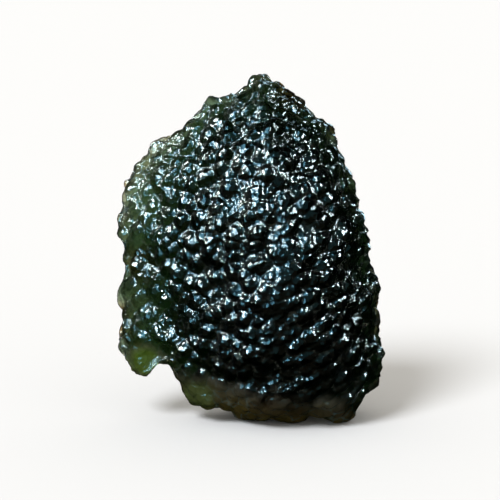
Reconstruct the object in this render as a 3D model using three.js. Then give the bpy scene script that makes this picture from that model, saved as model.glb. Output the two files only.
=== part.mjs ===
// Raw moldavite: one piece of natural green glass, etched all over into small cups with sharp ridges between
// them, standing on its broad lower end. Millimetres, +Z up, and the fuller face looks along -Y.

import * as THREE from "three";
import { ConvexHull } from "three/addons/math/ConvexHull.js";
import { ImprovedNoise } from "three/addons/math/ImprovedNoise.js";

// Driving dimensions. The outline below is drawn at this width and height.
const stoneWidth = 31;
const stoneHeight = 40;
const frontSwell = 9.6; // the fuller face, from the rim's plane out to the belly
const backSwell = 7.4;
const middle = { x: 1.5, z: 16.5 }; // of the stone, in the plane of the rim
const thinLeftShare = 0.5; // thickness at the left rim, as a share of the thickness at the middle
const rimOutset = 0.2; // makes up for the cups that cut into the rim
const bow = 1.6; // how far the peak leans back from the plane of the rim

// The rim as seen from the front, in x and z, clockwise from the peak.
const peakAndRightShoulder = [
  [0.1, 39.6], [0.9, 40.1], [1.8, 40.0], [2.6, 39.3], [3.8, 38.9], [4.8, 38.2], [6.4, 36.9], [7.3, 35.5],
  [8.9, 34.7], [10.0, 32.8],
];
const rightFlank = [
  [10.8, 30.0], [11.8, 28.2], [12.3, 26.0], [12.9, 24.2], [13.5, 22.2], [13.9, 19.4], [13.7, 18.2],
  [14.9, 15.6], [14.6, 13.4], [15.0, 11.6], [14.4, 10.8], [15.3, 9.3], [15.3, 7.9], [15.1, 6.6],
];
const lowerEnd = [
  [15.0, 4.8], [13.2, 2.9], [12.2, 0.6], [10.4, -0.1], [8.6, 0.1], [7.0, 1.9], [5.0, -0.1], [3.5, 0.8],
  [1.8, -0.3], [-0.9, 0.3], [-2.8, 1.5], [-4.9, 0.9], [-6.6, 1.5],
];
const biteAndTongue = [
  [-8.1, 3.2], [-8.8, 5.2], [-9.7, 6.4], [-10.6, 6.3], [-11.6, 5.5], [-13.4, 5.3], [-14.5, 7.1],
];
const leftFlank = [
  [-15.5, 9.4], [-14.7, 12.2], [-15.3, 14.7], [-14.5, 17.2], [-14.6, 19.7], [-15.4, 22.2], [-15.1, 24.3],
  [-14.5, 26.0], [-14.5, 27.6],
];
const leftShoulder = [
  [-13.0, 30.0], [-11.8, 31.8], [-10.4, 32.9], [-9.0, 33.3], [-7.1, 35.2], [-6.0, 36.2], [-5.4, 37.1],
  [-2.7, 37.7], [-0.8, 38.4],
];

// How full the edge is where it turns from one face to the other: 2 is an ellipse, more is blunter.
const edgeFullness = { top: 2.1, sides: 2.5, bottom: 3.4 };
const lobeReach = 28; // a lobe of the rim is what departs from the mean over one part in this many of the turn
const lobeFade = 5; // how quickly the lobes die away from the rim inwards, as a power
const rimCalm = 0.3; // near the rim, up to this far out of its plane, the faces' own unevenness fades

// Broad hollows in each face: place, half length, half width, turn in degrees above +X, depth.
const frontHollows = [
  { x: -10.9, z: 8.0, length: 3.1, width: 2.7, turn: -30, depth: 1.9 }, // bowl above the bite
  { x: -5.0, z: 4.6, length: 3.2, width: 2.7, turn: -25, depth: 1.2 }, // smooth panel right of the bite
  { x: -12.3, z: 19.4, length: 2.0, width: 2.0, turn: 0, depth: 0.9 }, // scoop in the left rim
  { x: -12.0, z: 15.4, length: 3.0, width: 2.2, turn: 60, depth: 0.7 },
  { x: -9.8, z: 12.4, length: 2.6, width: 2.0, turn: -35, depth: 0.8 },
  { x: 2.6, z: 37.0, length: 2.4, width: 1.8, turn: -20, depth: 0.8 }, // below the peak
  { x: 6.2, z: 31.4, length: 2.8, width: 0.9, turn: 78, depth: 0.9 },
  { x: 6.3, z: 24.3, length: 2.0, width: 1.3, turn: 35, depth: 0.8 },
  { x: 2.3, z: 20.8, length: 2.6, width: 0.9, turn: 70, depth: 0.9 },
  { x: 8.0, z: 20.6, length: 3.6, width: 1.0, turn: 24, depth: 0.8 },
  { x: 4.6, z: 12.3, length: 1.9, width: 2.1, turn: 0, depth: 0.8 },
  { x: 4.2, z: 7.2, length: 5.2, width: 2.4, turn: 20, depth: 1.1 }, // dark undercut below the belly
  { x: 6.6, z: 2.9, length: 1.5, width: 1.3, turn: 0, depth: 0.8 },
  { x: 13.0, z: 18.6, length: 3.6, width: 1.3, turn: 105, depth: 0.7 }, // bevel along the right rim
];
const backHollows = [
  { x: -8.6, z: 5.2, length: 5.4, width: 4.2, turn: -20, depth: 1.6 }, // thins the bite and the left toe
  { x: -9.5, z: 24.0, length: 5.0, width: 3.2, turn: 50, depth: 1.0 },
  { x: 4.5, z: 27.5, length: 5.6, width: 2.6, turn: 65, depth: 1.1 },
  { x: 7.5, z: 13.0, length: 4.4, width: 3.0, turn: 15, depth: 1.0 },
  { x: -3.0, z: 14.5, length: 3.4, width: 2.4, turn: -40, depth: 0.8 },
];

// Toes that the lower end stands on, worn flat where they touch. Between them it arches clear of the ground.
const toes = [
  { x: -0.8, y: -1.2, reach: 1.4 },
  { x: 4.9, y: -2.6, reach: 1.6 },
  { x: 10.2, y: -2.0, reach: 1.7 },
  { x: -2.0, y: 3.4, reach: 1.6 },
  { x: 8.6, y: 3.9, reach: 1.9 },
];
const toeHeight = { whole: 2.0, none: 3.2 }; // only what is this low is let down to the ground
const archHeight = 0.4;
const archedHeight = { whole: 0.6, none: 2.2 };
const toeDrop = 0.7;
const groundLine = 0.2; // whatever reaches below it is worn off

// Etched cups. Their size changes over the stone, and on the right they are drawn out along the glass's flow.
const cupSize = { front: 1.62, back: 2.5 };
const cupSizeZones = [
  { x: 9, z: 21, reach: 9, size: 1.75 }, // drawn-out cups of the right flank
  { x: 6, z: 6, reach: 9, size: 1.95 },
  { x: -11, z: 7, reach: 3.6, size: 1.3, throughout: true }, // fine enough to draw the bite
  { x: 1.2, z: 39, reach: 3.2, size: 1.1, throughout: true }, // and the peak's knob
];
const calmZones = [
  { x: -10.9, z: 7.6, reach: 3.6 },
  { x: -5.0, z: 4.2, reach: 3.4 },
  { x: -12.6, z: 16.5, reach: 3.2 },
];
const cupSpacing = 0.86; // the least distance between two middles, as a share of the cup's size
const cupDepthShare = 0.27; // of the cup's size
const cupDepthSpread = 0.4; // how much shallower or deeper than that a cup can be
const cupFloor = 0.5; // where the floor of each cup ends, from its middle to its ridge
const calmDepthShare = 0.3; // of the usual depth, in the calm zones
const ridgeUnevenness = 0.1;
const flow = { turn: 28, stretch: 1.75, from: -3, to: 7, backShare: 0.5 }; // turn above +X; from and to in x
const dimple = { size: 3.7, depth: 0.65, reach: 0.75, calmShare: 0.2 }; // broad cups with small ones in them
const swellNoise = { height: 0.6, size: 9 };

const candidateCount = 30000;
const flipPasses = 10;
const flipAbove = 1.02; // half turns: two angles that face one edge add up to one where it hardly matters
const rimSamples = 720;
const normalStep = 0.02;
const seed = 20571;

// Seeded random numbers from 0 to 1, so that the stone is the same each time.
function randomSource(start) {
  let state = start >>> 0;
  return () => {
    state = (state + 0x6d2b79f5) >>> 0;
    let mixed = Math.imul(state ^ (state >>> 15), state | 1);
    mixed ^= mixed + Math.imul(mixed ^ (mixed >>> 7), mixed | 61);
    return ((mixed ^ (mixed >>> 14)) >>> 0) / 4294967296;
  };
}

const random = randomSource(seed);
const noise = new ImprovedNoise();
const radians = THREE.MathUtils.degToRad;
const flowWay = new THREE.Vector3(Math.cos(radians(flow.turn)), 0, Math.sin(radians(flow.turn)));

// The rim as a radius for each direction around the middle, and the same rim with its lobes smoothed away.
function rimProfile() {
  const corners = [
    ...peakAndRightShoulder, ...rightFlank, ...lowerEnd, ...biteAndTongue, ...leftFlank, ...leftShoulder,
  ];
  const curve = new THREE.CatmullRomCurve3(
    corners.map(([x, z]) => new THREE.Vector3(x - middle.x, 0, z - middle.z)),
    true,
    "centripetal",
  );
  const around = curve
    .getPoints(corners.length * 16)
    .map((point) => ({ angle: Math.atan2(point.z, point.x), radius: Math.hypot(point.x, point.z) }))
    .sort((one, other) => one.angle - other.angle);
  const radii = new Float64Array(rimSamples);
  for (let i = 0, j = 0; i < rimSamples; i++) {
    const angle = -Math.PI + ((i + 0.5) / rimSamples) * 2 * Math.PI;
    while (j < around.length - 2 && around[j + 1].angle < angle) j++;
    const step = (angle - around[j].angle) / Math.max(around[j + 1].angle - around[j].angle, 1e-9);
    radii[i] = THREE.MathUtils.lerp(around[j].radius, around[j + 1].radius, THREE.MathUtils.clamp(step, 0, 1));
  }
  return { radii, smooth: blurred(radii, Math.round(rimSamples / lobeReach)) };
}

function blurred(radii, reach) {
  return radii.map((_, i) => {
    let sum = 0;
    for (let k = -reach; k <= reach; k++) sum += radii[(i + k + rimSamples) % rimSamples];
    return sum / (2 * reach + 1);
  });
}

function sampled(table, angle) {
  const place = ((angle + Math.PI) / (2 * Math.PI)) * rimSamples - 0.5 + rimSamples;
  const first = Math.floor(place);
  return THREE.MathUtils.lerp(table[first % rimSamples], table[(first + 1) % rimSamples], place - first);
}

const rim = rimProfile();
const dimples = [];

function fullnessAt(angle) {
  const up = Math.sin(angle);
  const end = up > 0 ? edgeFullness.top : edgeFullness.bottom;
  return THREE.MathUtils.lerp(edgeFullness.sides, end, up * up);
}

// The stone before it was etched: a direction from its middle becomes a point on a lopsided pebble. The rim's
// lobes fade quickly towards the middle of each face, so that they don't run across it as folds.
function pebblePoint(direction) {
  const angle = Math.atan2(direction.z, direction.x);
  const power = 2 / fullnessAt(angle);
  const spread = Math.min(Math.hypot(direction.x, direction.z), 1) ** power;
  const lobes = sampled(rim.radii, angle) - sampled(rim.smooth, angle);
  const radius = spread * (sampled(rim.smooth, angle) + rimOutset + lobes * spread ** lobeFade);
  const x = middle.x + radius * Math.cos(angle);
  const z = middle.z + radius * Math.sin(angle);
  const share = THREE.MathUtils.lerp(thinLeftShare, 1, THREE.MathUtils.smoothstep(x, -stoneWidth / 2, 5));
  const swell = (direction.y < 0 ? frontSwell : backSwell) * share * Math.abs(direction.y) ** power;
  const lean = bow * (Math.max(z - middle.z, 0) / (stoneHeight - middle.z)) ** 2;
  return new THREE.Vector3(x, Math.sign(direction.y) * swell + lean, z);
}

function pebbleNormal(direction) {
  const side = Math.abs(direction.y) < 0.9 ? new THREE.Vector3(0, 1, 0) : new THREE.Vector3(1, 0, 0);
  const along = new THREE.Vector3().crossVectors(side, direction).normalize();
  const across = new THREE.Vector3().crossVectors(direction, along);
  const difference = (way) =>
    pebblePoint(direction.clone().addScaledVector(way, normalStep).normalize()).sub(
      pebblePoint(direction.clone().addScaledVector(way, -normalStep).normalize()),
    );
  return difference(along).cross(difference(across)).normalize();
}

// 1 in the middle of a round or oval zone, 0 outside it.
function inZone(point, zone) {
  const turn = radians(zone.turn ?? 0);
  const dx = point.x - zone.x;
  const dz = point.z - zone.z;
  const along = (dx * Math.cos(turn) + dz * Math.sin(turn)) / (zone.length ?? zone.reach);
  const across = (dz * Math.cos(turn) - dx * Math.sin(turn)) / (zone.width ?? zone.reach);
  const away = Math.min(along * along + across * across, 1);
  return (1 - away) ** 1.5;
}

function cupSizeAt(point) {
  let size = point.y < 0 ? cupSize.front : cupSize.back;
  for (const zone of cupSizeZones) {
    if (point.y > 0 && !zone.throughout) continue;
    size = THREE.MathUtils.lerp(size, zone.size, Math.min(1, inZone(point, zone) * 2.5));
  }
  return size;
}

// The usual value, or the calm one in the zones where the etching left the glass smooth.
function calmness(point, usual, calm) {
  let share = 0;
  if (point.y < 0) for (const zone of calmZones) share = Math.max(share, Math.min(1, inZone(point, zone) * 2));
  return THREE.MathUtils.lerp(usual, calm, share);
}

// How far the broad hollows, the dimples and the stone's own unevenness set the surface in at a point of the
// pebble. The rim is left where it was drawn.
function broadSink(point, direction) {
  let sink = noise.noise(point.x / swellNoise.size, point.y / swellNoise.size + 7, point.z / swellNoise.size);
  sink *= swellNoise.height;
  let nearest = 1;
  for (const other of dimples) {
    const way = point.clone().sub(other);
    if (way.lengthSq() > (dimple.size * flow.stretch) ** 2) continue;
    nearest = Math.min(nearest, measured(way, point).length() / dimple.size);
  }
  sink += dimple.depth * (1 - (nearest / dimple.reach) ** 2) * calmness(point, 1, dimple.calmShare);
  sink *= THREE.MathUtils.smoothstep(Math.abs(direction.y), 0, rimCalm);
  for (const hollow of point.y < 0 ? frontHollows : backHollows) sink += hollow.depth * inZone(point, hollow);
  return sink;
}

// Height of a point once the lower end is lifted clear of the ground and its toes are let down and worn flat.
function groundedHeight(point) {
  let toe = 0;
  for (const { x, y, reach } of toes) {
    const away = Math.hypot(point.x - x, point.y - y);
    toe = Math.max(toe, 1 - THREE.MathUtils.smoothstep(away, reach * 0.6, reach * 1.5));
  }
  toe *= 1 - THREE.MathUtils.smoothstep(point.z, toeHeight.whole, toeHeight.none);
  const arch = archHeight * (1 - THREE.MathUtils.smoothstep(point.z, archedHeight.whole, archedHeight.none));
  const arched = point.z + arch;
  return Math.max(THREE.MathUtils.lerp(arched, groundLine - toeDrop, toe), groundLine);
}

// Distances as the etching sees them: shorter along the flow, so that cups grow longer that way.
function measured(way, point) {
  const onRight = THREE.MathUtils.smoothstep(point.x, flow.from, flow.to) * (point.y < 0 ? 1 : flow.backShare);
  const shorter = 1 / THREE.MathUtils.lerp(1, flow.stretch, onRight);
  return way.clone().addScaledVector(flowWay, way.dot(flowWay) * (shorter - 1));
}

// Directions spread evenly over a sphere and then shuffled.
function shuffledDirections() {
  const golden = Math.PI * (3 - Math.sqrt(5));
  const candidates = Array.from({ length: candidateCount }, (_, i) => {
    const y = 1 - (2 * (i + 0.5)) / candidateCount;
    const radius = Math.sqrt(1 - y * y);
    return new THREE.Vector3(radius * Math.cos(golden * i), y, radius * Math.sin(golden * i));
  });
  for (let i = candidateCount - 1; i > 0; i--) {
    const j = Math.floor(random() * (i + 1));
    [candidates[i], candidates[j]] = [candidates[j], candidates[i]];
  }
  return candidates;
}

// Middles of cups, no closer to each other on the pebble than a share of the cup size.
function spacedMiddles(sizeAt) {
  const middles = [];
  for (const direction of shuffledDirections()) {
    const point = pebblePoint(direction);
    const size = sizeAt(point);
    const crowded = middles.some(
      (other) =>
        point.distanceToSquared(other.point) < (size * flow.stretch) ** 2 &&
        measured(point.clone().sub(other.point), point).length() < Math.min(size, other.size) * cupSpacing,
    );
    if (!crowded) middles.push({ direction, point, size });
  }
  return middles;
}

// Triangles between neighbouring cup middles: the hull of their directions, then edges flipped until each joins
// the neighbours that are really nearest on the stone.
function neighbourTriangles(middles) {
  const index = new Map(middles.map((middle, i) => [middle.direction, i]));
  const hull = new ConvexHull().setFromPoints(middles.map((middle) => middle.direction));
  const triangles = hull.faces.map((face) => {
    const first = face.edge;
    return [first, first.next, first.next.next].map((edge) => index.get(edge.head().point));
  });
  for (let pass = 0; pass < flipPasses; pass++) if (!flipOnce(triangles, middles)) break;
  return triangles;
}

function edgeOwners(triangles) {
  const owners = new Map();
  triangles.forEach((corners, t) =>
    corners.forEach((from, k) => {
      owners.set(`${from} ${corners[(k + 1) % 3]}`, { t, tip: corners[(k + 2) % 3] });
    }),
  );
  return owners;
}

function cornerAngle(middles, tip, from, to) {
  const at = middles[tip].point;
  const wayTo = (corner) => measured(middles[corner].point.clone().sub(at), at);
  return wayTo(from).angleTo(wayTo(to));
}

function flipOnce(triangles, middles) {
  const owners = edgeOwners(triangles);
  const touched = new Set();
  let flips = 0;
  for (const [edge, { t, tip }] of owners) {
    const [from, to] = edge.split(" ").map(Number);
    const other = owners.get(`${to} ${from}`);
    if (from > to || touched.has(t) || touched.has(other.t) || owners.has(`${tip} ${other.tip}`)) continue;
    const facing = cornerAngle(middles, tip, from, to) + cornerAngle(middles, other.tip, from, to);
    if (facing < Math.PI * flipAbove) continue;
    triangles[t] = [from, other.tip, tip];
    triangles[other.t] = [to, tip, other.tip];
    touched.add(t).add(other.t);
    flips++;
  }
  return flips;
}

// The etched skin. Each cup has a floor and a ring of ridge points shared with its neighbours.
function etchedSkin() {
  for (const { point } of spacedMiddles(() => dimple.size)) dimples.push(point);
  const middles = spacedMiddles(cupSizeAt);
  const triangles = neighbourTriangles(middles);
  const owners = edgeOwners(triangles);
  const positions = [];
  const faces = [];

  const addPoint = (direction, sink) => {
    const point = pebblePoint(direction);
    point.addScaledVector(pebbleNormal(direction), -(sink + broadSink(point, direction)));
    positions.push(point.x, point.y, groundedHeight(point));
    return positions.length / 3 - 1;
  };

  const ridges = triangles.map((corners) => {
    const direction = new THREE.Vector3();
    for (const corner of corners) direction.add(middles[corner].direction);
    direction.normalize();
    return { direction, point: addPoint(direction, (random() - 0.5) * 2 * ridgeUnevenness) };
  });

  const firstNeighbour = new Map(triangles.flatMap(([a, b, c]) => [[a, b], [b, c], [c, a]]));
  middles.forEach(({ direction, point, size }, i) => {
    const unlike = 1 + cupDepthSpread * (random() * 2 - 1);
    const depth = size * cupDepthShare * calmness(point, 1, calmDepthShare) * unlike;
    const ring = [];
    const start = firstNeighbour.get(i);
    let neighbour = start;
    do {
      const { t, tip } = owners.get(`${i} ${neighbour}`);
      const onFloor = direction.clone().lerp(ridges[t].direction, cupFloor).normalize();
      ring.push({ floor: addPoint(onFloor, depth), ridge: ridges[t].point });
      neighbour = tip;
    } while (neighbour !== start);
    ring.forEach((here, k) => {
      const next = ring[(k + 1) % ring.length];
      faces.push(here.floor, here.ridge, next.ridge);
      faces.push(here.floor, next.ridge, next.floor);
      if (k > 1) faces.push(ring[0].floor, ring[k - 1].floor, here.floor);
    });
  });

  const geometry = new THREE.BufferGeometry();
  geometry.setAttribute("position", new THREE.Float32BufferAttribute(positions, 3));
  geometry.setIndex(faces);
  return geometry;
}

// The origin is the middle of the box's lower face, where the stone stands.
function stoodOnOrigin(geometry) {
  geometry.computeBoundingBox();
  const { min, max } = geometry.boundingBox;
  geometry.translate(-(min.x + max.x) / 2, -(min.y + max.y) / 2, -min.z);
  return geometry;
}

const glass = new THREE.MeshStandardMaterial({ color: 0x24351f, roughness: 0.15, metalness: 0 });
const stone = new THREE.Mesh(stoodOnOrigin(etchedSkin()), glass);
stone.name = "moldavite";

const part = new THREE.Group();
part.add(stone);
export default part;
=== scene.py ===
import math

import bpy
from mathutils import Euler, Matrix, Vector


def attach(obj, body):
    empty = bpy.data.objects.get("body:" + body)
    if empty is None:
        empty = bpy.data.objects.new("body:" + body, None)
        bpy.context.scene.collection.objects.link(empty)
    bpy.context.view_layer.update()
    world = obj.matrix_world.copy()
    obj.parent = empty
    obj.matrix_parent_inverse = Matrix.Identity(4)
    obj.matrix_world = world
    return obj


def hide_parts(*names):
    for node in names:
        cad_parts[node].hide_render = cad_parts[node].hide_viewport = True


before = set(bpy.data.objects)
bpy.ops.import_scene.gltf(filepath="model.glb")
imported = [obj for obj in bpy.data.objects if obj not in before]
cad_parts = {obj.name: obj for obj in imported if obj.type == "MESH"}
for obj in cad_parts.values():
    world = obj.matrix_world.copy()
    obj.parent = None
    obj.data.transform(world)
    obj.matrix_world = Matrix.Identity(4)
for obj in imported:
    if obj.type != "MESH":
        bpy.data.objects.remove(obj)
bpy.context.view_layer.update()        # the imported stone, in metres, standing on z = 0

mm = 0.001


# Small tools that the parts below use

def linearColour(hexText):
    # an sRGB colour such as #7fd0e8 as the linear numbers that shaders take, alpha last
    channels = [int(hexText[i:i + 2], 16) / 255 for i in (1, 3, 5)]
    return [c / 12.92 if c <= 0.04045 else ((c + 0.055) / 1.055) ** 2.4 for c in channels] + [1.0]


def addNode(tree, kind, settings=None, inputs=None):
    # one node with its settings; an input takes a value, or the output that feeds it
    node = tree.nodes.new(kind)
    for name, value in (settings or {}).items():
        setattr(node, name, value)
    for name, value in (inputs or {}).items():
        if isinstance(value, bpy.types.NodeSocket):
            tree.links.new(value, node.inputs[name])
        else:
            node.inputs[name].default_value = value
    return node


def selectOnly(piece):
    bpy.ops.object.select_all(action="DESELECT")
    piece.select_set(True)
    bpy.context.view_layer.objects.active = piece


def farFrom(tree, position, x, z, reachX, reachZ):
    # how far a position is from a place on the face, all in mm; 1 at the place's reach
    away = addNode(tree, "ShaderNodeVectorMath", {"operation": "SUBTRACT"},
                   {0: position, 1: (x * mm, 0, z * mm)}).outputs[0]
    scaled = addNode(tree, "ShaderNodeVectorMath", {"operation": "MULTIPLY"},
                     {0: away, 1: (1 / (reachX * mm), 0, 1 / (reachZ * mm))}).outputs[0]
    return addNode(tree, "ShaderNodeVectorMath", {"operation": "LENGTH"}, {0: scaled}).outputs["Value"]


def directionTo(azimuth, elevation):
    # from the stone to a lamp; azimuth 0 is in front of it and grows to the right
    a, e = math.radians(azimuth), math.radians(elevation)
    return Vector((math.sin(a) * math.cos(e), -math.cos(a) * math.cos(e), math.sin(e)))


# The camera looks a little down on the fuller face, from as far off as the photograph's

cameraSet = {
    "lens": 180,                 # mm on a 36 mm sensor
    "distance": 284.2 * mm,
    "elevation": 12,             # degrees above the horizon
    "aim": (0, 0, 19.98 * mm),
}


def makeCamera():
    data = bpy.data.cameras.new("camera")
    data.lens = cameraSet["lens"]
    data.sensor_width = 36
    data.clip_start = 10 * mm
    camera = bpy.data.objects.new("camera", data)
    bpy.context.scene.collection.objects.link(camera)
    away = directionTo(0, cameraSet["elevation"])
    camera.location = Vector(cameraSet["aim"]) + away * cameraSet["distance"]
    camera.rotation_euler = Euler((math.pi / 2 - math.radians(cameraSet["elevation"]), 0, 0))
    bpy.context.scene.camera = camera
    print("camera in place")


# The stone's skin: the solid's cups are rounded, then knobs are etched over them

skin = {
    "mergeWithin": 0.0005 * mm,
    "cuts": 3,                            # each of the solid's triangles becomes 16
    "roundingPasses": 45,                 # how often the skin is evened out
    "ridgeShare": 0.8,                    # how much of that the ridges get
    "ridgeRise": 0.02 * mm,               # what sticks out this much from its neighbours is a ridge
    "rimShare": 0.4,                      # how much of all this is left at the rim
    "rimFacing": (0.3, 0.75),             # the rim, by how far it faces the front or the back
    "nearGround": (2.0 * mm, 4.5 * mm),   # the toes are below the first height
    "roundNearGround": 0.9,               # and are rounded this much
    "swell": 0.2 * mm,                    # how far the skin is pushed out before the etching
    "knobSize": 1.5 * mm,                 # the small knobs that the etching left
    "knobDepth": 0.55 * mm,               # of the grooves between them
    "dimpleSize": 0.66 * mm,              # the finest relief that is still shape
    "dimpleDepth": 0.04 * mm,
    "grooveAt": 0.5,                      # squared distance from a knob's middle to its groove
    "unevenness": 0.7,                    # of the knobs' spacing, 0 to 1
    "wobble": 0.35 * mm,                  # how far the grooves wander
    "wobbleSize": 1.3 * mm,
    "wobbleDetail": 2.0,
    "middleTurn": 62,                     # degrees that the middle's long knobs rise to the right
    "middleStretch": 1.25,
    "flowTurn": 30,                       # and those of the right flank
    "flowStretch": 1.5,
    "flow": (-2 * mm, 9 * mm),            # from the middle's to the flank's, by x
    "groundCalm": (0.1 * mm, 0.9 * mm),   # no etching below the first height, all above the second
    "calmEdge": (0.6, 1.2),               # how softly a calm place ends, 1 at its reach
    "calmPlaces": [
        # x and z, reach along x and z in mm, and how much etching is left
        (-12.3, 7.3, 2.6, 2.6, 0.2),
        (-5.9, 3.6, 3.0, 2.2, 0.6),
        (-12.2, 20.5, 2.3, 2.4, 0.55),
        (-8.5, 13.0, 2.6, 2.2, 0.6),
        (7.5, 9.0, 4.0, 2.0, 0.7),
    ],
    "front": (-1 * mm, -3 * mm),          # the crevices fade in between these, by y
    "crevices": [
        # from x and z, to x and z, half width and depth, in mm
        (2.9, 25.2, 1.5, 21.2, 1.2, 0.5),
        (1.5, 21.2, -1.4, 19.8, 1.1, 0.4),
    ],
}


def roundCups(tree, geometry, position, normal):
    # every place moves to its neighbours' mean: ridges less, and the rim least of all
    evened = addNode(tree, "GeometryNodeBlurAttribute", {"data_type": "FLOAT_VECTOR"},
                     {"Value": position, "Iterations": skin["roundingPasses"]}).outputs["Value"]
    move = addNode(tree, "ShaderNodeVectorMath", {"operation": "SUBTRACT"},
                   {0: evened, 1: position}).outputs[0]
    rise = addNode(tree, "ShaderNodeVectorMath", {"operation": "DOT_PRODUCT"},
                   {0: move, 1: normal}).outputs["Value"]
    share = addNode(tree, "ShaderNodeMapRange", {"interpolation_type": "SMOOTHSTEP"},
                    {"Value": rise, "From Min": -skin["ridgeRise"], "From Max": skin["ridgeRise"],
                     "To Min": skin["ridgeShare"], "To Max": 1.0}).outputs[0]
    evenNormal = addNode(tree, "GeometryNodeBlurAttribute", {"data_type": "FLOAT_VECTOR"},
                         {"Value": normal, "Iterations": skin["roundingPasses"]}).outputs["Value"]
    facing = addNode(tree, "ShaderNodeSeparateXYZ", {}, {0: evenNormal}).outputs[1]
    facing = addNode(tree, "ShaderNodeMath", {"operation": "ABSOLUTE"}, {0: facing}).outputs[0]
    broad = addNode(tree, "ShaderNodeMapRange", {"interpolation_type": "SMOOTHSTEP"},
                    {"Value": facing, "From Min": skin["rimFacing"][0], "From Max": skin["rimFacing"][1],
                     "To Min": skin["rimShare"], "To Max": 1.0}).outputs[0]
    height = addNode(tree, "ShaderNodeSeparateXYZ", {}, {0: position}).outputs[2]
    nearGround = addNode(tree, "ShaderNodeMapRange", {"interpolation_type": "SMOOTHSTEP"},
                         {"Value": height, "From Min": skin["nearGround"][0],
                          "From Max": skin["nearGround"][1],
                          "To Min": skin["roundNearGround"], "To Max": 0.0}).outputs[0]
    broad = addNode(tree, "ShaderNodeMath", {"operation": "MAXIMUM"}, {0: broad, 1: nearGround}).outputs[0]
    share = addNode(tree, "ShaderNodeMath", {"operation": "MULTIPLY"}, {0: share, 1: broad}).outputs[0]
    offset = addNode(tree, "ShaderNodeVectorMath", {"operation": "SCALE"},
                     {0: move, "Scale": share}).outputs[0]
    return addNode(tree, "GeometryNodeSetPosition", {},
                   {"Geometry": geometry, "Offset": offset}).outputs[0]


def etchingAmount(tree, position, height):
    # less etching in the calm places, and none on the ground
    amount = addNode(tree, "ShaderNodeMapRange", {"interpolation_type": "SMOOTHSTEP"},
                     {"Value": height, "From Min": skin["groundCalm"][0],
                      "From Max": skin["groundCalm"][1]}).outputs[0]
    for x, z, reachX, reachZ, left in skin["calmPlaces"]:
        far = farFrom(tree, position, x, z, reachX, reachZ)
        keep = addNode(tree, "ShaderNodeMapRange", {"interpolation_type": "SMOOTHSTEP"},
                       {"Value": far, "From Min": skin["calmEdge"][0], "From Max": skin["calmEdge"][1],
                        "To Min": left, "To Max": 1.0}).outputs[0]
        amount = addNode(tree, "ShaderNodeMath", {"operation": "MULTIPLY"},
                         {0: amount, 1: keep}).outputs[0]
    return amount


def addCrevices(tree, inward, wandered, y):
    # a soft groove along each crevice's line
    front = addNode(tree, "ShaderNodeMapRange", {"interpolation_type": "SMOOTHSTEP"},
                    {"Value": y, "From Min": skin["front"][0], "From Max": skin["front"][1]}).outputs[0]
    flat = addNode(tree, "ShaderNodeVectorMath", {"operation": "MULTIPLY"},
                   {0: wandered, 1: (1, 0, 1)}).outputs[0]
    for fromX, fromZ, toX, toZ, halfWidth, depth in skin["crevices"]:
        start = Vector((fromX, 0, fromZ)) * mm
        line = Vector((toX, 0, toZ)) * mm - start
        reached = addNode(tree, "ShaderNodeVectorMath", {"operation": "SUBTRACT"},
                          {0: flat, 1: start}).outputs[0]
        along = addNode(tree, "ShaderNodeVectorMath", {"operation": "DOT_PRODUCT"},
                        {0: reached, 1: line / line.length_squared}).outputs["Value"]
        along = addNode(tree, "ShaderNodeClamp", {}, {"Value": along}).outputs[0]
        nearest = addNode(tree, "ShaderNodeVectorMath", {"operation": "SCALE"},
                          {0: line, "Scale": along}).outputs[0]
        off = addNode(tree, "ShaderNodeVectorMath", {"operation": "DISTANCE"},
                      {0: reached, 1: nearest}).outputs["Value"]
        groove = addNode(tree, "ShaderNodeMapRange", {"interpolation_type": "SMOOTHERSTEP"},
                         {"Value": off, "From Min": 0.0, "From Max": halfWidth * mm,
                          "To Min": depth * mm, "To Max": 0.0}).outputs[0]
        inward = addNode(tree, "ShaderNodeMath", {"operation": "MULTIPLY_ADD"},
                         {0: groove, 1: front, 2: inward}).outputs[0]
    return inward


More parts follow.
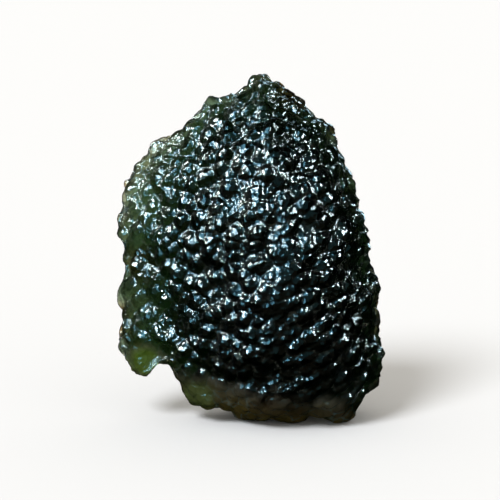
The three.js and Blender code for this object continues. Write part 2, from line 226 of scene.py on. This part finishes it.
def makeSkinNodes():
    tree = bpy.data.node_groups.new("etchedSkin", "GeometryNodeTree")
    tree.interface.new_socket("Geometry", in_out="INPUT", socket_type="NodeSocketGeometry")
    tree.interface.new_socket("Geometry", in_out="OUTPUT", socket_type="NodeSocketGeometry")
    source = addNode(tree, "NodeGroupInput")
    target = addNode(tree, "NodeGroupOutput")
    position = addNode(tree, "GeometryNodeInputPosition").outputs[0]
    normal = addNode(tree, "GeometryNodeInputNormal").outputs[0]
    axes = addNode(tree, "ShaderNodeSeparateXYZ", {}, {0: position}).outputs
    rounded = roundCups(tree, source.outputs[0], position, normal)

    # the grooves wander, and the knobs lie long: steep in the middle, flatter on the right flank
    noise = addNode(tree, "ShaderNodeTexNoise", {"noise_dimensions": "3D"},
                    {"Vector": position, "Scale": 1 / skin["wobbleSize"],
                     "Detail": skin["wobbleDetail"]}).outputs["Color"]
    centred = addNode(tree, "ShaderNodeVectorMath", {"operation": "SUBTRACT"},
                      {0: noise, 1: (0.5, 0.5, 0.5)}).outputs[0]
    drift = addNode(tree, "ShaderNodeVectorMath", {"operation": "SCALE"},
                    {0: centred, "Scale": 2 * skin["wobble"]}).outputs[0]
    wandered = addNode(tree, "ShaderNodeVectorMath", {"operation": "ADD"},
                       {0: position, 1: drift}).outputs[0]
    stretched = []
    for turn, stretch in (
        (skin["middleTurn"], skin["middleStretch"]),
        (skin["flowTurn"], skin["flowStretch"]),
    ):
        turned = addNode(tree, "ShaderNodeVectorRotate", {"rotation_type": "Y_AXIS"},
                         {"Vector": wandered, "Angle": math.radians(turn)}).outputs[0]
        stretched.append(addNode(tree, "ShaderNodeVectorMath", {"operation": "MULTIPLY"},
                                 {0: turned, 1: (1 / stretch, 1, 1)}).outputs[0])
    flow = addNode(tree, "ShaderNodeMapRange", {"interpolation_type": "SMOOTHSTEP"},
                   {"Value": axes[0], "From Min": skin["flow"][0], "From Max": skin["flow"][1]}).outputs[0]

    # each knob falls off as the square of the distance from its middle
    drops = []
    for size, depth, place in (
        (skin["knobSize"], skin["knobDepth"], stretched[0]),
        (skin["knobSize"], skin["knobDepth"], stretched[1]),
        (skin["dimpleSize"], skin["dimpleDepth"], wandered),
    ):
        cells = addNode(tree, "ShaderNodeTexVoronoi", {"voronoi_dimensions": "3D", "feature": "F1"},
                        {"Vector": place, "Scale": 1 / size,
                         "Randomness": skin["unevenness"]}).outputs["Distance"]
        square = addNode(tree, "ShaderNodeMath", {"operation": "POWER"}, {0: cells, 1: 2.0}).outputs[0]
        drops.append(addNode(tree, "ShaderNodeMapRange", {},
                             {"Value": square, "From Min": 0.0, "From Max": skin["grooveAt"],
                              "To Min": 0.0, "To Max": depth}).outputs[0])
    knobs = addNode(tree, "ShaderNodeMix", {"data_type": "FLOAT"},
                    {0: flow, 2: drops[0], 3: drops[1]}).outputs[0]
    total = addNode(tree, "ShaderNodeMath", {"operation": "ADD"}, {0: knobs, 1: drops[2]}).outputs[0]
    total = addNode(tree, "ShaderNodeMath", {"operation": "SUBTRACT"},
                    {0: total, 1: skin["swell"]}).outputs[0]
    inward = addNode(tree, "ShaderNodeMath", {"operation": "MULTIPLY"},
                     {0: total, 1: etchingAmount(tree, position, axes[2])}).outputs[0]
    inward = addCrevices(tree, inward, wandered, axes[1])
    outward = addNode(tree, "ShaderNodeMath", {"operation": "MULTIPLY"}, {0: inward, 1: -1.0}).outputs[0]
    offset = addNode(tree, "ShaderNodeVectorMath", {"operation": "SCALE"},
                     {0: normal, "Scale": outward}).outputs[0]
    etched = addNode(tree, "GeometryNodeSetPosition", {},
                     {"Geometry": rounded, "Offset": offset}).outputs[0]

    # how far each place is from its knob's border, for the painted pale highlight lines on the glass
    edges = [addNode(tree, "ShaderNodeTexVoronoi",
                     {"voronoi_dimensions": "3D", "feature": "DISTANCE_TO_EDGE"},
                     {"Vector": place, "Scale": 1 / skin["knobSize"],
                      "Randomness": skin["unevenness"]}).outputs["Distance"]
             for place in stretched]
    border = addNode(tree, "ShaderNodeMix", {"data_type": "FLOAT"},
                     {0: flow, 2: edges[0], 3: edges[1]}).outputs[0]
    marked = addNode(tree, "GeometryNodeStoreNamedAttribute", {"data_type": "FLOAT", "domain": "POINT"},
                     {"Geometry": etched, "Name": "fromBorder", "Value": border}).outputs[0]
    tree.links.new(marked, target.inputs[0])
    return tree


def makeStone():
    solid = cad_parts["moldavite"]
    stone = bpy.data.objects.new("moldavite_stone", solid.data.copy())
    bpy.context.scene.collection.objects.link(stone)
    stone.data.materials.clear()
    selectOnly(stone)
    bpy.ops.object.mode_set(mode="EDIT")
    bpy.ops.mesh.select_all(action="SELECT")
    bpy.ops.mesh.remove_doubles(threshold=skin["mergeWithin"])
    bpy.ops.mesh.subdivide(number_cuts=skin["cuts"])
    bpy.ops.object.mode_set(mode="OBJECT")
    etch = stone.modifiers.new("etch", "NODES")
    etch.node_group = makeSkinNodes()
    bpy.ops.object.modifier_apply(modifier=etch.name)
    bpy.ops.object.shade_smooth()
    print("stone skinned with", len(stone.data.polygons), "faces")
    return stone


# Natural glass with an etched skin: thin rims glow bottle green, the body goes nearly black,
# and every knob mirrors the lamps as a cold blue point

glass = {
    "ior": 1.49,
    "absorbed": (0.79, 0.61, 0.79),     # how strongly red, green and blue are absorbed, per mm
    "roughness": (0.28, 0.48),          # the etched skin blurs what is seen through it
    "roughPatch": 1.5 * mm,
    "roughEdge": (0.3, 0.7),            # the part of the noise that runs between those two
    "glossRoughness": 0.055,            # and still mirrors lamps sharply
    "tint": "#dfe6cf",
    "tintBrown": "#a88550",
    "tintPatch": 4 * mm,
    "tintDetail": 3.0,
    "brownEdge": (0.35, 0.75),
    "brownPlaces": [                    # x, z and reach of the brown places, in mm
        (4.4, 37.4, 3.4),
        (-12.0, 18.6, 3.0),
    ],
    "placeEdge": (0.4, 1.0),            # how softly a place ends, 1 at its reach
    "pit": 0.54 * mm,
    "pitDepth": 0.055 * mm,
    "ripple": 0.26 * mm,                # the real grain is finer, this one is as coarse as it shows
    "rippleHeight": 0.014 * mm,
    "fineDetail": 2.0,
    "highlightLineEnd": 0.08,                    # of a knob's size: how wide the painted pale highlight line along a groove is
    "highlightLineColour": "#a9bcab",
    "highlightLineMatt": 0.035,                  # how much of the painted highlight line is matt
    "highlightLineGaps": (0.4, 0.65),            # the painted highlight line is broken where the noise is below the first value
    "low": (2.0 * mm, 6.0 * mm),        # matt up to the first height, no longer above the second
    "lowLean": 0.15,                    # how much lower these are per mm to the right
    "lowWander": 4 * mm,                # how irregular they are
    "lowColour": "#93813c",
    "lowMatt": 0.09,
    "mattPlaces": [                     # x, z and reach in mm, colour, and how much of it is matt
        (-12.0, 7.2, 2.6, "#7f9a3c", 0.12),
        (-6.0, 3.4, 2.8, "#8a9a55", 0.10),
    ],
}


def nearPlace(tree, place, x, z, reach):
    # 1 at a place given in mm, falling to 0 at its reach
    far = farFrom(tree, place, x, z, reach, reach)
    return addNode(tree, "ShaderNodeMapRange", {"interpolation_type": "SMOOTHSTEP"},
                   {"Value": far, "From Min": glass["placeEdge"][0], "From Max": glass["placeEdge"][1],
                    "To Min": 1.0, "To Max": 0.0}).outputs[0]


def bodyTint(tree, place, patches):
    # the glass's own colour, browner in patches and at the brown places
    brown = addNode(tree, "ShaderNodeMapRange", {"interpolation_type": "SMOOTHSTEP"},
                    {"Value": patches, "From Min": glass["brownEdge"][0],
                     "From Max": glass["brownEdge"][1]}).outputs[0]
    for x, z, reach in glass["brownPlaces"]:
        near = nearPlace(tree, place, x, z, reach)
        brown = addNode(tree, "ShaderNodeMath", {"operation": "MAXIMUM"}, {0: brown, 1: near}).outputs[0]
    return addNode(tree, "ShaderNodeMix", {"data_type": "RGBA"},
                   {0: brown, 6: linearColour(glass["tint"]),
                    7: linearColour(glass["tintBrown"])}).outputs[2]


def fineRelief(tree, place):
    # grain, and pits over it, both too fine for the mesh
    ripple = addNode(tree, "ShaderNodeTexNoise", {},
                     {"Vector": place, "Scale": 1 / glass["ripple"],
                      "Detail": glass["fineDetail"]}).outputs["Fac"]
    bump = addNode(tree, "ShaderNodeBump", {},
                   {"Strength": 1.0, "Distance": glass["rippleHeight"], "Height": ripple}).outputs[0]
    pits = addNode(tree, "ShaderNodeTexVoronoi", {"feature": "F1"},
                   {"Vector": place, "Scale": 1 / glass["pit"]}).outputs["Distance"]
    bowls = addNode(tree, "ShaderNodeMath", {"operation": "POWER"}, {0: pits, 1: 2.0}).outputs[0]
    return addNode(tree, "ShaderNodeBump", {},
                   {"Strength": 1.0, "Distance": glass["pitDepth"] * 2,      # a bowl is half a unit high
                    "Height": bowls, "Normal": bump}).outputs[0]


def lowSkin(tree, place, patches):
    # 1 low on the stone, falling to 0 at an irregular height
    axes = addNode(tree, "ShaderNodeSeparateXYZ", {}, {0: place}).outputs
    height = addNode(tree, "ShaderNodeMath", {"operation": "MULTIPLY_ADD"},
                     {0: axes[0], 1: glass["lowLean"], 2: axes[2]}).outputs[0]
    uneven = addNode(tree, "ShaderNodeMath", {"operation": "SUBTRACT"}, {0: patches, 1: 0.5}).outputs[0]
    height = addNode(tree, "ShaderNodeMath", {"operation": "MULTIPLY_ADD"},
                     {0: uneven, 1: 2 * glass["lowWander"], 2: height}).outputs[0]
    return addNode(tree, "ShaderNodeMapRange", {"interpolation_type": "SMOOTHSTEP"},
                   {"Value": height, "From Min": glass["low"][0], "From Max": glass["low"][1],
                    "To Min": 1.0, "To Max": 0.0}).outputs[0]


def mattSkin(tree, place, patches, rough, colour):
    # the skin's colour, and how much of it is matt: low down, along the grooves where a pale highlight
    # line is painted, in green places
    low = lowSkin(tree, place, patches)
    colour = addNode(tree, "ShaderNodeMix", {"data_type": "RGBA"},
                     {0: low, 6: colour, 7: linearColour(glass["lowColour"])}).outputs[2]
    fromBorder = addNode(tree, "ShaderNodeAttribute", {"attribute_name": "fromBorder"}).outputs["Fac"]
    # painted highlight: a pale line along each knob border stands in for light caught along the ridge
    # lines; a little of it is matt
    line = addNode(tree, "ShaderNodeMapRange", {"interpolation_type": "SMOOTHSTEP"},
                   {"Value": fromBorder, "From Min": 0.0, "From Max": glass["highlightLineEnd"],
                    "To Min": 1.0, "To Max": 0.0}).outputs[0]
    colour = addNode(tree, "ShaderNodeMix", {"data_type": "RGBA"},
                     {0: line, 6: colour, 7: linearColour(glass["highlightLineColour"])}).outputs[2]
    highlightLineGap = addNode(tree, "ShaderNodeMapRange", {"interpolation_type": "SMOOTHSTEP"},
                   {"Value": rough, "From Min": glass["highlightLineGaps"][0], "From Max": glass["highlightLineGaps"][1],
                    "To Min": 0.0, "To Max": glass["highlightLineMatt"]}).outputs[0]
    highlightLineMatt = addNode(tree, "ShaderNodeMath", {"operation": "MULTIPLY"}, {0: line, 1: highlightLineGap}).outputs[0]
    placeMatt = 0.0
    for x, z, reach, placeColour, share in glass["mattPlaces"]:
        near = nearPlace(tree, place, x, z, reach)
        colour = addNode(tree, "ShaderNodeMix", {"data_type": "RGBA"},
                         {0: near, 6: colour, 7: linearColour(placeColour)}).outputs[2]
        placeMatt = addNode(tree, "ShaderNodeMath", {"operation": "MULTIPLY_ADD"},
                            {0: near, 1: share, 2: placeMatt}).outputs[0]
    matt = addNode(tree, "ShaderNodeMath", {"operation": "MULTIPLY_ADD"},
                   {0: low, 1: glass["lowMatt"], 2: highlightLineMatt}).outputs[0]
    matt = addNode(tree, "ShaderNodeMath", {"operation": "MAXIMUM"}, {0: matt, 1: placeMatt}).outputs[0]
    return colour, matt


def makeGlass():
    material = bpy.data.materials.new("etchedMoldaviteGlass")
    material.use_nodes = True
    tree = material.node_tree
    tree.nodes.clear()
    place = addNode(tree, "ShaderNodeTexCoord").outputs["Object"]
    patches = addNode(tree, "ShaderNodeTexNoise", {},
                      {"Vector": place, "Scale": 1 / glass["tintPatch"],
                       "Detail": glass["tintDetail"]}).outputs["Fac"]
    rough = addNode(tree, "ShaderNodeTexNoise", {},
                    {"Vector": place, "Scale": 1 / glass["roughPatch"],
                     "Detail": glass["fineDetail"]}).outputs["Fac"]
    roughness = addNode(tree, "ShaderNodeMapRange", {},
                        {"Value": rough, "From Min": glass["roughEdge"][0],
                         "From Max": glass["roughEdge"][1], "To Min": glass["roughness"][0],
                         "To Max": glass["roughness"][1]}).outputs[0]
    bump = fineRelief(tree, place)
    colour, matt = mattSkin(tree, place, patches, rough, bodyTint(tree, place, patches))
    clear = addNode(tree, "ShaderNodeMath", {"operation": "SUBTRACT"}, {0: 1.0, 1: matt}).outputs[0]

    # the glossy film mirrors the lamps, the glass under it only lets light through
    shader = addNode(tree, "ShaderNodeBsdfPrincipled", {}, {
        "Base Color": colour, "Roughness": roughness, "IOR": glass["ior"],
        "Transmission Weight": clear, "Coat Weight": 1.0, "Coat Roughness": glass["glossRoughness"],
        "Coat IOR": glass["ior"], "Specular Tint": (0, 0, 0, 1), "Normal": bump, "Coat Normal": bump})
    strongest = max(glass["absorbed"])
    absorb = addNode(tree, "ShaderNodeVolumeAbsorption", {}, {
        "Color": [1 - a / strongest for a in glass["absorbed"]] + [1.0], "Density": strongest / mm})
    addNode(tree, "ShaderNodeOutputMaterial", {},
            {"Surface": shader.outputs[0], "Volume": absorb.outputs[0]})
    print("glass mixed")
    return material


# A pale floor, and lights of which the stone mirrors only the lamps

studio = {
    "floorColour": "#c2c2c1",
    "floorSize": 4,                             # m
    "floorGap": 0.02 * mm,                      # under the stone, so that the two never touch
    "surround": ("#fffbf4", 1.0),
    "sun": (-35, 46, 3.95, 22, "#f6f9ff"),      # azimuth, elevation, strength, width in degrees, colour
    "lamps": [
        # name, azimuth, elevation, distance, width, height, power, colour
        ("tealSoftbox", -20, 24, 0.50, 0.90, 0.74, 1.6, "#4f8f98"),
        ("coolSoftbox", -34, 26, 0.40, 0.19, 0.44, 2.2, "#7cc8ea"),
        ("whiteSoftbox", -36, 28, 0.38, 0.08, 0.20, 1.9, "#e0f3fb"),
        ("rightSoftbox", 48, 34, 0.40, 0.08, 0.22, 3.0, "#d8eef8"),
        ("leftSoftbox", -70, 32, 0.40, 0.08, 0.22, 3.0, "#e4f4f4"),
        ("backSoftbox", 165, 22, 0.40, 0.14, 0.40, 0.8, "#b4dcec"),
        ("floorGlow", -10, -12, 0.095, 0.24, 0.12, 0.009, "#cfd0b4"),
    ],
}


def makeFloor():
    bpy.ops.object.select_all(action="DESELECT")
    bpy.ops.mesh.primitive_plane_add(size=studio["floorSize"], location=(0, 0, -studio["floorGap"]))
    floor = bpy.context.object
    floor.name = "floor"
    paint = bpy.data.materials.new("mattePaleFloor")     # an even off-white that shows the shadow
    paint.use_nodes = True
    shader = paint.node_tree.nodes["Principled BSDF"]
    shader.inputs["Base Color"].default_value = linearColour(studio["floorColour"])
    shader.inputs["Roughness"].default_value = 1.0
    shader.inputs["Specular IOR Level"].default_value = 0.0
    floor.data.materials.append(paint)
    floor.visible_glossy = False
    print("floor laid")


def makeLights():
    world = bpy.data.worlds.new("surround")
    bpy.context.scene.world = world
    world.use_nodes = True
    colour, strength = studio["surround"]
    world.node_tree.nodes["Background"].inputs["Color"].default_value = linearColour(colour)
    world.node_tree.nodes["Background"].inputs["Strength"].default_value = strength
    world.cycles_visibility.glossy = False

    azimuth, elevation, strength, width, colour = studio["sun"]
    data = bpy.data.lights.new("softSun", "SUN")
    data.energy = strength
    data.angle = math.radians(width)
    data.color = linearColour(colour)[:3]
    sun = bpy.data.objects.new("softSun", data)
    bpy.context.scene.collection.objects.link(sun)
    sun.rotation_euler = directionTo(azimuth, elevation).to_track_quat("Z", "Y").to_euler()
    sun.visible_glossy = False
    sun.visible_transmission = False

    for name, azimuth, elevation, distance, width, height, power, colour in studio["lamps"]:
        data = bpy.data.lights.new(name, "AREA")
        data.shape = "RECTANGLE"
        data.size = width
        data.size_y = height
        data.energy = power
        data.color = linearColour(colour)[:3]
        lamp = bpy.data.objects.new(name, data)
        bpy.context.scene.collection.objects.link(lamp)
        away = directionTo(azimuth, elevation)
        lamp.location = Vector(cameraSet["aim"]) + away * distance
        lamp.rotation_euler = away.to_track_quat("Z", "Y").to_euler()
        lamp.visible_camera = False
        lamp.visible_transmission = False
        lamp.visible_diffuse = False
    bpy.context.scene.view_settings.view_transform = "Standard"
    print("studio lit")


makeCamera()
stone = makeStone()
stone.data.materials.append(makeGlass())
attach(stone, "root")
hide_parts("moldavite")
makeFloor()
makeLights()
